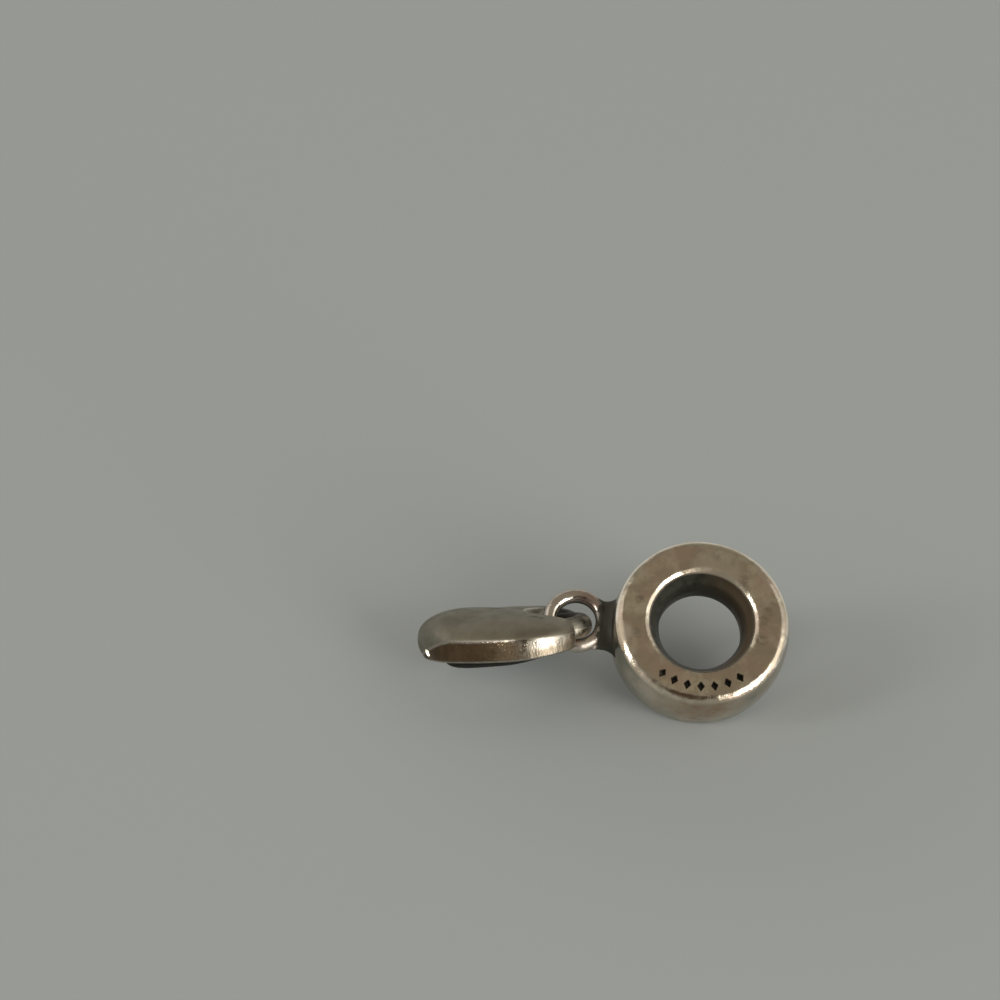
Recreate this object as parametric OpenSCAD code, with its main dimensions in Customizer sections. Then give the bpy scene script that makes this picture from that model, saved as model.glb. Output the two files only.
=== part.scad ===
// Hanging heart charm for a bead bracelet: a round carrier bead with a fixed loop on its rim,
// and a small puffed heart linked to the loop by the eye in its cleft.
// The charm lies on a table: it rests on the bead's edge and on the edge of the heart.
// Every piece is drawn about its own middle, placed in the bead's frame, then laid down as one.
// The bead's frame: the bead's axis is Z, and the loop lies on its -X side.

/* [Bead] */
// Widest diameter of the bead, at the middle of its rim
bead_d = 8.94; // [8:0.05:10]
// Thickness of the bead, from face to face
bead_t = 3.2; // [2.8:0.1:3.6]
// Diameter where the flat face ends and the shoulder begins
face_d = 7.8; // [7.2:0.1:7.8]
// Diameter of the shoulder, where face and rim meet
shoulder_d = 8.66; // [8.2:0.02:8.8]
// Drop of the shoulder below the face
shoulder_drop = 0.26; // [0.1:0.02:0.5]
// Diameter of the cylindrical land in the middle of the hole, where a bracelet passes
land_d = 4.16; // [3.8:0.02:4.4]
// Length of that land
land_t = 0.8; // [0.4:0.1:1.2]
// Diameter of the hole's mouth on each face
mouth_d = 5.2; // [4.8:0.1:5.6]
// Radius of the rolled lip round the mouth
lip_r = 0.22; // [0.1:0.02:0.3]

/* [Loop] */
// Middle of the loop, from the middle of the bead
loop_x = 6.2; // [6.1:0.05:6.6]
// Radius of the loop, to the middle of its wire
loop_r = 1.32; // [1.15:0.01:1.4]
// Thickness of the loop's wire
wire_d = 0.68; // [0.5:0.02:0.8]
// Height of the solder neck at its waist
neck_h = 2.6; // [2:0.1:2.8]
// Place of that waist, from the middle of the bead
neck_x = 4.8; // [4.6:0.02:5]
// Radius of the hollows above and below the neck
neck_hollow_r = 0.85; // [0.6:0.05:1.2]
// Drop of the neck's middle below the line from bead to loop
neck_drop = 0.12; // [0:0.02:0.3]
// Thickness of the neck where it meets the loop, along the bead's axis
neck_t = 0.66; // [0.6:0.02:1]
// Radius of the hollows that thin the neck towards the loop
neck_taper_r = 1.2; // [1:0.05:1.6]

/* [Heart] */
// Width of the heart across its lobes
heart_w = 9.1; // [8:0.1:9.4]
// Height of the heart, from its tip to the tops of its lobes
heart_h = 8.1; // [7.6:0.1:8.3]
// Radius of each lobe
lobe_r = 2.45; // [2.2:0.05:2.6]
// Radius of the rounded tip
tip_r = 0.9; // [0.5:0.05:1.1]
// Radius of the long, slightly bowed sides
side_r = 11; // [9:1:30]
// Thickness of the flat band round the heart's edge
band_t = 1.1; // [0.6:0.02:1.2]
// Share of the band that the back dome covers at the tip, as it wraps down over it
tip_wrap = 0.84; // [0:0.02:0.86]
// Share of the band by which its front edge rises at the tip
tip_rise = 0.08; // [0:0.01:0.12]
// Height above the tip where both have faded out
tip_to = 2; // [1:0.1:2.5]
// How far the tip leans in towards its front edge
tip_lean = 0.42; // [0:0.02:0.6]
// How far the whole band bends towards the back at the tops of the lobes
lobe_rise = 0.18; // [0:0.02:0.4]
// Height above the tip where that bend starts
lobe_rise_from = 4.4; // [3:0.1:5.5]
// Share of the band that the back dome covers at the tops of the lobes
lobe_wrap = 0.38; // [0:0.02:0.6]
// Height of the dome on the back
back_dome_h = 1.46; // [1:0.02:1.8]
// How much the back dome flattens to a lens towards the heart's sides: 0 keeps it a full cushion
side_flatten = 1; // [0:0.05:1]
// Height of the lower dome on the front
front_dome_h = 0.7; // [0.3:0.02:1.6]
// Size of the front dome, as a share of the outline: the rest is a flat ledge round it
front_share = 0.76; // [0.7:0.02:0.96]
// How full the domes are: 2 is a round dome, and more is a fuller cushion
dome_fullness = 4; // [2:0.2:8]
// Share of its height that the back dome loses towards the tops of the lobes
dome_fall = 0.66; // [0:0.02:0.8]
// The same for the front dome
front_fall = 0.9; // [0:0.02:1]
// Height above the tip at which that fall starts
fall_start = 1.3; // [0.5:0.1:4]

/* [Eye] */
// Middle of the eye, from the heart's tip
eye_y = 7.08; // [6.9:0.02:7.2]
// Lift of the eye from the middle of the band towards the back
eye_lift = 0.42; // [0:0.02:0.8]
// Diameter of the eye's hole
eye_hole_d = 1.5; // [1.4:0.05:1.6]
// Thickness of the rounded ring round the hole
eye_ring_t = 1.0; // [0.8:0.02:1.1]
// Diameter of the recess in each dome, in which the loop's wire turns
recess_d = 3; // [2.6:0.1:3.4]

/* [How the heart lies] */
// Turn of the heart about the bead's axis, in degrees
heart_turn = 7.5; // [-15:0.5:20]
// Lift of the heart's tip out of the bead's plane, in degrees
heart_lift = -12; // [-30:0.5:30]
// Roll of the heart about its own long axis, in degrees
heart_roll = 27; // [0:0.5:35]
// Shift of the eye from the loop's middle, along the bead's X axis
eye_shift_x = -0.92; // [-1.2:0.02:-0.7]
// Shift of the eye from the loop's middle, along the bead's Y axis
eye_shift_y = -0.46; // [-0.8:0.02:0.2]

/* [How the charm rests] */
// Tilt of the laid-down charm about X, in degrees
rest_tilt_x = 33.9; // [-60:0.1:60]
// Tilt of the laid-down charm about Y, in degrees
rest_tilt_y = 0.7; // [-60:0.1:60]
// Turn of the laid-down charm on the table, in degrees
rest_turn = -3.5; // [-180:0.1:180]
// Place of the bead's middle on the table, to the right of the charm's own middle
rest_x = 4.76; // [-10:0.01:10]
// Place of the bead's middle on the table, behind the charm's own middle
rest_y = 0; // [-10:0.01:10]
// Height of the bead's middle above the table
rest_z = 3.57; // [1:0.01:8]

/* [Hidden] */
silver = "#8d8478";
// Steps along a quarter of a round profile
arc_steps = 6;
// Steps along each stretch of the heart's outline
tip_steps = 4;
side_steps = 9;
lobe_steps = 16;
// Steps from the band up to the top of a dome, and the first one of the back dome
dome_steps = 9;
first_step = 0.35;
// Powers of the domes' fall, of the wrap over the band at the tip and at the lobes, and of the lens
fall_power = 1.3;
tip_power = 6;
lobe_power = [1.5, 2];
lens_power = [2.4, 0.8];
// Direction, as a share, at which a side of the dome is fully a lens, and what the lobes keep of that
lens_full = 0.4;
lobe_lens = 0.4;
// Heights above the tip between which the lens gives way to the lobes
lens_from = 4.3;
lens_to = 6.5;
// Facets round the preview of circles, and round a wire
round_steps = 96;
wire_steps = 48;
lobe_x = heart_w / 2 - lobe_r;
lobe_y = heart_h - lobe_r;
// Middle of the domes, a little below the middles of the lobes
heart_mid = [0, lobe_y - 0.6];
eye_tube_r = eye_ring_t / 2;
eye_ring_r = eye_hole_d / 2 + eye_tube_r;
// How far cutting shapes run past the metal
over = 0.5;
// The neck is rooted inside the bead's rim, is thinnest over the wire, and ends on the loop's shoulders
neck_from = bead_d / 2 - 0.75;
neck_thin_x = loop_x - loop_r + 0.22;
neck_to = loop_x - loop_r + 0.42;

// Points of an arc about a middle, from one angle to another
function arc(mid, r, from, to, steps) =
    [for (i = [0:steps]) mid + r * [cos(from + (to - from) * i / steps), sin(from + (to - from) * i / steps)]];

// Upper half of the bead's section, from the land outwards, as radius and height
function bead_half() = concat(
    [[land_d / 2, land_t / 2], [mouth_d / 2 - 0.08, bead_t / 2 - lip_r - 0.12]],
    arc([mouth_d / 2 + lip_r, bead_t / 2 - lip_r], lip_r, 180, 90, arc_steps),
    [[face_d / 2, bead_t / 2]],
    shoulder_arc(),
    rim_arc());

// The face turns down to the shoulder along a shallow curve
function shoulder_arc() =
    [for (i = [1:arc_steps]) let (u = i / arc_steps)
        [face_d / 2 + (shoulder_d - face_d) / 2 * u, bead_t / 2 - shoulder_drop * pow(u, 2)]];

// The rim bulges from the shoulder to its widest line
function rim_arc() =
    [for (i = [1:arc_steps]) let (u = i / arc_steps)
        [shoulder_d / 2 + (bead_d - shoulder_d) / 2 * sin(90 * u),
         (bead_t / 2 - shoulder_drop) * (1 - u)]];

// The other half of a section, mirrored and in the opposite order
function mirrored(half) = [for (i = [len(half) - 1:-1:0]) [half[i][0], -half[i][1]]];

module bead() {
    half = bead_half();
    difference() {
        rotate_extrude($fn = round_steps)
            polygon(concat(half, mirrored(half)));
        cylinder(d = land_d, h = bead_t + over, center = true, $fn = round_steps);
    }
}

module loop() {
    translate([-loop_x, 0, 0])
        rotate_extrude($fn = round_steps)
            translate([loop_r, 0])
                circle(d = wire_d, $fn = wire_steps);
}

// Half section of the neck, as radius and distance from the bead's middle: a block with a round hollow
module neck_section(waist, waist_x, hollow_r) {
    difference() {
        translate([0, neck_from])
            square([waist / 2 + hollow_r * 0.8, neck_to - neck_from]);
        translate([waist / 2 + hollow_r, waist_x])
            circle(hollow_r, $fn = round_steps);
    }
}

// Solder neck: round from above and below, thinned towards the loop, and ending in the loop's wire
module neck() {
    difference() {
        rotate([0, -90, 0])
            intersection() {
                translate([0, -neck_drop, 0])
                    rotate_extrude($fn = round_steps)
                        neck_section(neck_h, neck_x, neck_hollow_r);
                rotate([90, 0, 0])
                    linear_extrude(2 * bead_t, center = true)
                        for (side = [0, 1])
                            mirror([side, 0])
                                neck_section(neck_t, neck_thin_x, neck_taper_r);
            }
        translate([-loop_x, 0, 0])
            cylinder(r = loop_r, h = bead_t, center = true, $fn = round_steps);
    }
}

module carrier_bead() {
    color(silver)
        laid_down()
            union() {
                bead();
                loop();
                neck();
            }
}

// Middle of the bowed side: it touches the tip's circle and the lobe's circle from inside
function side_middle() =
    let (a = side_r - tip_r,
         b = side_r - lobe_r,
         gap = [lobe_x, lobe_y - tip_r],
         d = norm(gap),
         along = (a * a - b * b + d * d) / (2 * d),
         across = sqrt(a * a - along * along),
         dir = gap / d)
    [0, tip_r] + along * dir + across * [-dir[1], dir[0]];

// Direction from one point to another, in degrees
function heading(from, to) = atan2(to[1] - from[1], to[0] - from[0]);

// Right half of the heart's outline, from the tip to the cleft
function half_outline() =
    let (mid = side_middle(),
         start = heading(mid, [0, tip_r]),
         end = heading(mid, [lobe_x, lobe_y]),
         cleft = 180 - acos(lobe_x / lobe_r))
    concat(
        arc([0, tip_r], tip_r, -90, start, tip_steps),
        [for (p = [1:side_steps - 1]) mid + side_r * [cos(start + (end - start) * p / side_steps),
                                                      sin(start + (end - start) * p / side_steps)]],
        arc([lobe_x, lobe_y], lobe_r, end, cleft, lobe_steps));

// The whole outline, once round
function outline() =
    let (right = half_outline(), n = len(right))
    concat(right, [for (i = [n - 2:-1:1]) [-right[i][0], right[i][1]]]);

// One level of a dome: its share of the outline, and its share of the height
function dome_level(i) =
    let (angle = 90 * i / dome_steps)
    [pow(cos(angle), 2 / dome_fullness), sin(angle)];

// A level of the front dome, which is set in behind a flat ledge
function front_level(i) = i < 0 ? [1, 0] : [front_share * dome_level(i)[0], dome_level(i)[1]];

// What is left of a dome's height at a place along the heart
function kept(side, y) =
    1 - (side < 0 ? front_fall : dome_fall) * pow(max(0, y - fall_start) / (heart_h - fall_start), fall_power);

// What is left near the tip: 1 at the tip itself, fading out upwards
function near_tip(y) = pow(max(0, 1 - y / tip_to), 2);

// How near a place is to the tops of the lobes: 1 at the tops themselves
function near_lobes(y) = max(0, y - lobe_rise_from) / (heart_h - lobe_rise_from);

// Lift of the whole section towards the back, as the lobes bend up
function lobe_lift(y) = lobe_rise * pow(near_lobes(y), 2);

// A smooth step from 0 to 1
function smooth(u) = let (v = min(1, max(0, u))) v * v * (3 - 2 * v);

// How much the back dome is a lens at a place: most at the long sides, less at the lobes
function sideways(p) =
    let (d = p - heart_mid, lobes = smooth((p[1] - lens_from) / (lens_to - lens_from)))
    side_flatten * smooth(p[0] * p[0] / (lens_full * d * d + 0.00001)) * (1 - (1 - lobe_lens) * lobes);

// Share of the back dome's height at a place, between the full cushion and the lens
function back_height(level, p) =
    level[1] + (pow(1 - pow(level[0], lens_power[0]), lens_power[1]) - level[1]) * sideways(p);

// Height of a dome over the middle of the band
function dome_height(side, level, p) =
    side < 0
    ? -band_t * (0.5 - tip_rise * near_tip(p[1])) - front_dome_h * kept(side, p[1]) * level[1]
    : band_t * (0.5 - tip_wrap * near_tip(p[1]) * pow(1 - level[1], tip_power)
                - lobe_wrap * pow(near_lobes(p[1]), lobe_power[0]) * pow(1 - level[1], lobe_power[1]))
      + back_dome_h * kept(side, p[1]) * back_height(level, p);

// How far a point at this height leans in at the tip
function lean(y, z) = tip_lean * near_tip(y) * pow(min(1, max(0, 0.5 - z / band_t)), 2);

// A point of a dome: which side it is on, its level and the outline's point
function dome_point(side, level, p) =
    let (place = heart_mid + level[0] * (p - heart_mid), z = dome_height(side, level, place))
    [place[0], place[1] + lean(place[1], z), z + lobe_lift(place[1])];

module puffed_body() {
    edge = outline();
    n = len(edge);
    back_steps = [0, first_step, for (i = [1:dome_steps - 1]) i];
    m = 2 * dome_steps + 2;
    points = concat(
        [for (i = [dome_steps - 1:-1:-1]) for (p = edge) dome_point(-1, front_level(i), p)],
        [for (i = back_steps) for (p = edge) dome_point(1, dome_level(i), p)],
        [for (side = [-1, 1]) dome_point(side, [0, 1], heart_mid)]);
    sides = [for (k = [0:m - 2]) for (i = [0:n - 1]) let (j = (i + 1) % n)
        each [[k * n + i, (k + 1) * n + j, k * n + j],
              [k * n + i, (k + 1) * n + i, (k + 1) * n + j]]];
    front_cap = [for (i = [0:n - 1]) [m * n, i, (i + 1) % n]];
    back_cap = [for (i = [0:n - 1]) [m * n + 1, (m - 1) * n + (i + 1) % n, (m - 1) * n + i]];
    polyhedron(points, concat(sides, front_cap, back_cap));
}

module eye_ring() {
    rotate_extrude($fn = round_steps)
        translate([eye_ring_r, 0])
            circle(r = eye_tube_r, $fn = wire_steps);
}

// The heart upright, its front towards -Z, with the middle of its eye at the origin
module heart_flat() {
    difference() {
        translate([0, -eye_y, -eye_lift])
            puffed_body();
        translate([0, 0, eye_tube_r * 0.8])
            cylinder(d = recess_d, h = back_dome_h, $fn = round_steps);
        cylinder(r = eye_ring_r, h = 2 * bead_t, center = true, $fn = round_steps);
    }
    eye_ring();
}

module heart_pendant() {
    color(silver)
        laid_down()
            translate([-loop_x + eye_shift_x, eye_shift_y, 0])
                rotate([0, 0, heart_turn])
                    rotate([0, heart_lift, 0])
                        rotate([heart_roll, 0, 0])
                            rotate([-90, -90, 0])
                                heart_flat();
}

// Lays the charm down on the table
module laid_down() {
    translate([rest_x, rest_y, rest_z])
        rotate([0, 0, rest_turn])
            rotate([rest_tilt_x, rest_tilt_y, 0])
                children();
}

carrier_bead();
heart_pendant();
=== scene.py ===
# %% [markdown]
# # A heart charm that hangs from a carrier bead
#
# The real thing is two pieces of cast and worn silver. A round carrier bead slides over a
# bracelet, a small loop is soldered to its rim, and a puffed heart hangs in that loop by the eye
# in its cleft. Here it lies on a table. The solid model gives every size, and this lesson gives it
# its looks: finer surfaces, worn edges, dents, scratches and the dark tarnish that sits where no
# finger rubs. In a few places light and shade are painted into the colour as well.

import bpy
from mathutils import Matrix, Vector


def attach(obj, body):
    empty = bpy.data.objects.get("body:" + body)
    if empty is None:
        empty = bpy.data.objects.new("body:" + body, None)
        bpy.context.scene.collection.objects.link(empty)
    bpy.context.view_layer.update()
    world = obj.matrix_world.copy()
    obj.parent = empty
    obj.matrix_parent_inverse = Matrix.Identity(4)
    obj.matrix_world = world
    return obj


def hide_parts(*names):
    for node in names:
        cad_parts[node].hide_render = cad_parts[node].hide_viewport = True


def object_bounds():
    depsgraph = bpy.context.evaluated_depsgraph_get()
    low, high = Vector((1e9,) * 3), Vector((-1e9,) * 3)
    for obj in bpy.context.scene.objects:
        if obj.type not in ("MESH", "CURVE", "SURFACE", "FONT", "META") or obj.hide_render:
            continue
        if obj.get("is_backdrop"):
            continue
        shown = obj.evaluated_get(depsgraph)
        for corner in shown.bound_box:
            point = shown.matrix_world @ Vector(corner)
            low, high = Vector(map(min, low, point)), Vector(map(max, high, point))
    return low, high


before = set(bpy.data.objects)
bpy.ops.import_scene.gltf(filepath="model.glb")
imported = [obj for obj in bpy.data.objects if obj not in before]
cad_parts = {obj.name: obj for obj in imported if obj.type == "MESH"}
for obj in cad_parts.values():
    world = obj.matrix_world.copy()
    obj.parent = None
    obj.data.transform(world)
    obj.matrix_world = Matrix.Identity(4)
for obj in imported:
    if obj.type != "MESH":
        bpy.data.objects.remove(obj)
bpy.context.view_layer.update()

# %% [markdown]
# Silver work is measured in millimetres, and Blender's scene is in metres. Every piece is
# therefore drawn in millimetres about its own middle, and one matrix carries it to its place on
# the table. The bead's own frame has its axis along Z and the loop on its -X side. The heart's
# frame starts in the middle of its eye. Its turns are read from the left: it swings round in the
# loop, tips down to the table, rolls onto its edge, and the last turn only lays the drawing's
# plane into the loop.

# %% Places of the bead and the heart
from math import acos, atan2, cos, degrees, pi, radians, sin, sqrt

import bmesh
import bpy
from mathutils import Euler, Matrix, Vector, noise

MM = 0.001
bead_middle = Vector((4.76, 0, 3.57))
bead_turn = (33.9, 0.7, -3.5)
loop_middle = Vector((-6.2, 0, 0))
eye_shift = Vector((-0.92, -0.46, 0))
heart_turns = ((0, 0, 7.5), (0, -12, 0), (27, 0, 0), (-90, -90, 0))


def turned(x, y, z):
    return Euler((radians(x), radians(y), radians(z))).to_matrix().to_4x4()


bead_place = Matrix.Scale(MM, 4) @ Matrix.Translation(bead_middle) @ turned(*bead_turn)
heart_place = bead_place @ Matrix.Translation(loop_middle + eye_shift)
for heart_turn in heart_turns:
    heart_place = heart_place @ turned(*heart_turn)
print("bead at", bead_place.translation, "heart's eye at", heart_place.translation)

# %% [markdown]
# Finishes, the table's paint and the light of the room are all mixed from a few kinds of node. One
# class adds them to a tree, and each of its words stands for one kind of node: fade goes smoothly
# from one value to another, times, plus and minus reckon, most takes the largest, mix blends two
# colours and level blends two numbers.

# %% Words for nodes


def rgb(r, g, b):
    return (r, g, b, 1.0)


class Nodes:
    def __init__(self, tree):
        self.tree = tree

    def put(self, socket, value):
        """Links a socket's output, or else sets a plain value."""
        if isinstance(value, bpy.types.NodeSocket):
            self.tree.links.new(value, socket)
        else:
            socket.default_value = value

    def add(self, kind, **values):
        node = self.tree.nodes.new("ShaderNode" + kind)
        for key, value in values.items():
            if key in node.inputs:
                self.put(node.inputs[key], value)
            else:
                setattr(node, key, value)
        return node

    def fill(self, node, values, output=0):
        """Fills a node's sockets, found by their number, and gives one of its outputs."""
        for place, value in values.items():
            self.put(node.inputs[place], value)
        return node.outputs[output]

    def math(self, operation, a, b=0.0):
        return self.fill(self.add("Math", operation=operation), {0: a, 1: b})

    def times(self, first, *others):
        for other in others:
            first = self.math("MULTIPLY", first, other)
        return first

    def plus(self, first, *others):
        for other in others:
            first = self.math("ADD", first, other)
        return first

    def minus(self, a, b):
        return self.math("SUBTRACT", a, b)

    def most(self, first, *others):
        for other in others:
            first = self.math("MAXIMUM", first, other)
        return first

    def measure(self, operation, a, b):
        """The DISTANCE or the DOT_PRODUCT of two vectors."""
        return self.fill(self.add("VectorMath", operation=operation), {0: a, 1: b}, "Value")

    def fade(self, value, start, end, first=0.0, last=1.0):
        """First at start, last at end, smooth between."""
        node = self.add("MapRange", interpolation_type="SMOOTHSTEP")
        return self.fill(node, {0: value, 1: start, 2: end, 3: first, 4: last}, "Result")

    def mix(self, amount, a, b):
        return self.fill(self.add("Mix", data_type="RGBA"), {0: amount, 6: a, 7: b}, 2)

    def level(self, amount, a, b):
        return self.fill(self.add("Mix", data_type="FLOAT"), {0: amount, 2: a, 3: b})


# %% [markdown]
# A finish on metal also has to know where it is. Its pattern is measured in millimetres in the
# piece's own frame: a Mapping node set to Texture undoes the piece's place on the table. A cloud
# is noise, which can be stretched into scratches, a spot is a soft round mark at one place, and a
# bump is relief too fine to draw.

# %% Words for finishes on metal


class Finish(Nodes):
    def __init__(self, name, place):
        self.material = bpy.data.materials.new(name)
        self.material.use_nodes = True
        super().__init__(self.material.node_tree)
        self.shader = self.tree.nodes["Principled BSDF"]
        self.shader.inputs["Metallic"].default_value = 1.0
        self.shader.inputs["Specular IOR Level"].default_value = 0.3
        where, turn, size = place.decompose()
        mapping = self.add("Mapping", vector_type="TEXTURE", Location=where,
                           Rotation=turn.to_euler(), Scale=size,
                           Vector=self.add("TexCoord").outputs["Object"])
        self.at = mapping.outputs[0]
        self.x, self.y, self.z = self.add("SeparateXYZ", Vector=self.at).outputs

    def length(self, x, y):
        return self.math("SQRT", self.plus(self.times(x, x), self.times(y, y)))

    def cloud(self, scale, detail, rough, stretch=(1, 1, 1), shift=(0, 0, 0), turn=(0, 0, 0)):
        where = self.at
        if (stretch, shift, turn) != ((1, 1, 1), (0, 0, 0), (0, 0, 0)):
            where = self.add("Mapping", Vector=self.at, Location=shift, Scale=stretch,
                             Rotation=[radians(t) for t in turn]).outputs[0]
        return self.add("TexNoise", Vector=where, Scale=scale, Detail=detail,
                        Roughness=rough).outputs["Fac"]

    def spot(self, x, y, z, inner, outer):
        """1 within inner mm of a place, 0 beyond outer mm."""
        return self.fade(self.measure("DISTANCE", self.at, (x, y, z)), outer, inner)

    def bump(self, height, depth, below=None):
        """Relief of a depth in mm, on top of the relief below it."""
        node = self.add("Bump", Distance=depth * MM, Height=height)
        if below is not None:
            self.put(node.inputs["Normal"], below)
        return node.outputs[0]

    def finished(self, colour, roughness, normal, dull):
        """Dull marks, from 0 to 1, the blackened places: oxide, and black painted shade."""
        for name, value in (("Metallic", self.minus(1.0, dull)), ("Base Color", colour),
                            ("Roughness", roughness), ("Normal", normal)):
            self.put(self.shader.inputs[name], value)
        print("finish", self.material.name, "of", len(self.tree.nodes), "nodes")
        return self.material


# %% [markdown]
# The bead's silver is a warm, mottled grey, rubbed bright by the wrist. Three clouds of different
# sizes lie over each other, because real stains come in more than one size: a broad change of
# tone, small brown stains and a faint blush of copper.

# %% The bead's mottled metal
silver = Finish("worn_bead_silver", bead_place)
radius = silver.length(silver.x, silver.y)
mottle = silver.fade(silver.cloud(0.55, 5, 0.6), 0.42, 0.57)
stain = silver.fade(silver.cloud(1.7, 4, 0.6, shift=(3, 1, 0)), 0.46, 0.66)
blush = silver.fade(silver.cloud(0.8, 3, 0.5, shift=(8, 2, 5)), 0.45, 0.65)
base = silver.mix(mottle, rgb(0.75, 0.68, 0.54), rgb(0.565, 0.48, 0.37))
base = silver.mix(silver.times(stain, 0.5), base, rgb(0.48, 0.40, 0.30))
base = silver.mix(silver.times(blush, 0.45), base, rgb(0.64, 0.475, 0.395))
print("bead metal", len(silver.tree.nodes), "nodes")

# %% [markdown]
# The rim is rubbed less than the face, so it is greener and blotched. Low on the bead, the
# shoulder between them shows a pale line that is partly worn and partly a painted highlight.
# Where a mark sits is told by its distance from the axis and its height.

# %% The bead's rim and shoulder
blotch = silver.fade(silver.cloud(0.75, 4, 0.6, shift=(4, 6, 1)), 0.40, 0.62)
rim = silver.times(silver.fade(radius, 4.25, 4.36), silver.level(blotch, 0.25, 0.95))
base = silver.mix(rim, base, rgb(0.50, 0.475, 0.375))
# pale line on the lower shoulder: wear and a painted highlight
rubbed_and_lit = silver.times(silver.fade(radius, 4.20, 4.27), silver.fade(silver.z, 1.27, 1.34),
                      silver.fade(silver.y, -2.6, -0.6))
base = silver.mix(silver.times(rubbed_and_lit, silver.level(mottle, 0.85, 0.5)), base,
                  rgb(0.90, 0.88, 0.82))
print("rim and shoulder", len(silver.tree.nodes), "nodes")

# %% [markdown]
# A few dark flecks sit on the face, where small dents hold dirt, and the fleck beside the lip is
# painted shade. Each is a spot at its own place, and one fine cloud breaks them all up, so that
# none of them is a clean disc.

# %% Dirt in the dents of the face, and painted shade by the lip
half_t = 1.6  # half of the bead's thickness, so the height of its face
# the fleck at (1.95, 2.35) beside the lip is painted shade; the rest are dirt
flecks = ((-0.3, 3.55, 0.65), (0.5, 3.6, 0.5), (1.2, 3.4, 0.55), (1.95, 2.35, 0.45),
          (3.1, 0.75, 0.55), (3.2, 0.1, 0.4), (2.95, -0.7, 0.5), (-3.2, 0.9, 0.3),
          (-3.1, 0.0, 0.3), (-3.3, -0.95, 0.4))
dirt_and_lip_shade = silver.most(*[silver.spot(x, y, half_t, size * 0.2, size) for x, y, size in flecks])
grain = silver.fade(silver.cloud(2.6, 4, 0.6, shift=(7, 2, 4)), 0.42, 0.60)
dirt_and_lip_shade = silver.times(dirt_and_lip_shade, grain)
base = silver.mix(silver.times(dirt_and_lip_shade, 0.9), base, rgb(0.25, 0.20, 0.15))
print(len(flecks), "flecks of dirt")

# %% [markdown]
# Silver turns black where nothing rubs it: round the solder neck and in the punch marks. The
# hole's wall is painted black as well, partly as tarnish and partly as painted shade. One mask
# says where, and it later makes those places less metallic too. The black isn't even. It turns
# brown on the right of the hole, and painted shade makes it darkest at its far edge, deep in the
# bore.

# %% Tarnish and painted shade of the bead
off_middle = silver.math("ABSOLUTE", silver.z)
# the hole's wall: part tarnish, part painted shade
hole_wall = silver.times(silver.fade(radius, 2.74, 2.60), silver.fade(off_middle, 1.52, 1.36))
round_neck = silver.times(silver.spot(-4.15, 0, 0, 0.9, 1.75), silver.fade(off_middle, 1.5, 1.1))
punched = silver.times(silver.fade(radius, 3.16, 3.20), silver.fade(radius, 3.76, 3.72),
                       silver.fade(silver.z, 1.57, 1.53), silver.fade(silver.z, 1.0, 1.1))
tarnish_and_shade = silver.most(hole_wall, round_neck, punched)
crust = silver.fade(silver.cloud(1.5, 4, 0.65, shift=(3, 7, 2)), 0.38, 0.62)
black = silver.mix(crust, rgb(0.024, 0.024, 0.017), rgb(0.050, 0.049, 0.038))
black = silver.mix(silver.fade(silver.x, -0.5, 2.2), black, rgb(0.112, 0.080, 0.048))
base = silver.mix(tarnish_and_shade, base, black)
# painted shade, darkest deep in the bore
deep_bore_shade = silver.times(hole_wall, silver.fade(silver.z, 0.95, 0.6), 0.7)
base = silver.mix(deep_bore_shade, base, rgb(0.022, 0.021, 0.016))
base = silver.mix(punched, base, rgb(0.012, 0.011, 0.008))
print("tarnish_and_shade", len(silver.tree.nodes), "nodes")

# %% [markdown]
# Low on the rim lie a painted brown reflection, a pale rubbed place and some grey grime, each a
# wide soft spot. Two more places are dull: a patch on the shoulder beside the neck, darkened with
# painted shade so that the bright streak there starts later, and the top of the hole's lip,
# between its two bright stretches. Dullness is roughness, so they get that as well as colour.

# %% Painted reflection and shade, grime and dull places
# painted reflection: a brown glow low on the rim
brown_reflection = silver.times(silver.spot(0.1, -4.4, 0.7, 0.7, 2.3), silver.fade(silver.z, 1.45, 1.2),
                    silver.level(stain, 0.5, 1.0))
pale = silver.times(silver.spot(-2.9, -3.4, 0.5, 0.4, 1.7), silver.level(blotch, 0.85, 0.3))
grime = silver.times(silver.spot(2.7, -3.6, 0.2, 0.4, 1.5), silver.level(blotch, 0.2, 0.85))
# painted shade on the shoulder, which hides the start of the window's streak
shoulder_shade = silver.times(silver.spot(-4.0, -0.95, 1.4, 0.35, 0.85), 0.9)
dull_lip = silver.level(tarnish_and_shade, silver.spot(0.55, 2.8, half_t, 0.9, 1.75), 0.0)
for mark, colour in ((brown_reflection, rgb(0.43, 0.29, 0.19)), (pale, rgb(0.78, 0.69, 0.56)),
                     (grime, rgb(0.33, 0.325, 0.26)), (shoulder_shade, rgb(0.50, 0.43, 0.33)),
                     (silver.times(dull_lip, 0.65), rgb(0.46, 0.41, 0.31))):
    base = silver.mix(mark, base, colour)
rough = silver.level(silver.cloud(3.0, 4, 0.6, shift=(0, 5, 2)), 0.08, 0.24)
for mark, dullness in ((tarnish_and_shade, 0.38), (dirt_and_lip_shade, 0.45), (shoulder_shade, 0.55), (dull_lip, 0.42)):
    rough = silver.level(mark, rough, dullness)
print("film and gloss", len(silver.tree.nodes), "nodes")

# %% [markdown]
# The finest relief is bump: soft knocks, two sets of hairline scratches that cross, and the grain
# of cast metal. A scratch is a cloud stretched a long way in one direction. Each bump lies on the
# last.

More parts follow.
